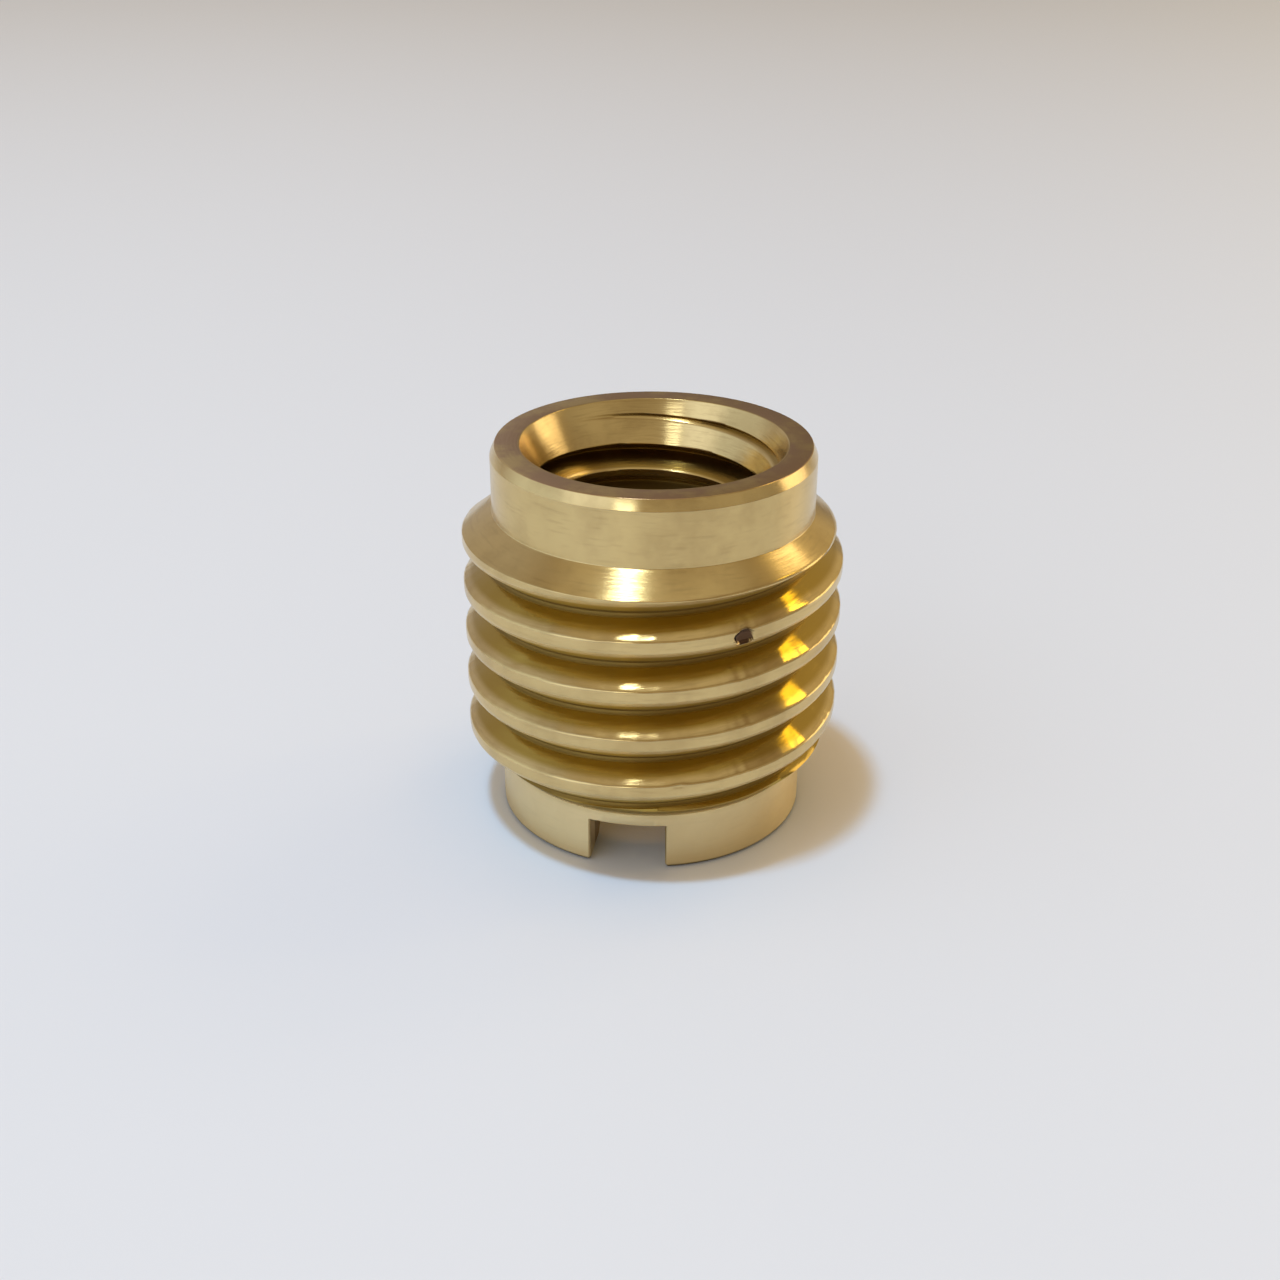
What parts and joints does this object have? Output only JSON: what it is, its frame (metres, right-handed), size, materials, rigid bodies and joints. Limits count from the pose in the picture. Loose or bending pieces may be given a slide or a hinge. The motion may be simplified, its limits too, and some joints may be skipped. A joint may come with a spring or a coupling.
{
  "type": "threaded insert",
  "caption": "Turned brass screw-in insert: coarse outer thread between two cones, plain countersunk collar, threaded bore and a driving slot across the lower end.",
  "frame": {"origin": "on the axis, in the face of the slotted end, which the part stands on", "axes": "+Z along the axis towards the countersunk collar; the driving slot runs along Y"},
  "size_m": [0.0158, 0.0158, 0.0163],
  "materials": {
    "brass": "turned, semi-bright"
  },
  "bodies": {
    "root": {"insert_body": "brass"}
  },
  "joints": []
}
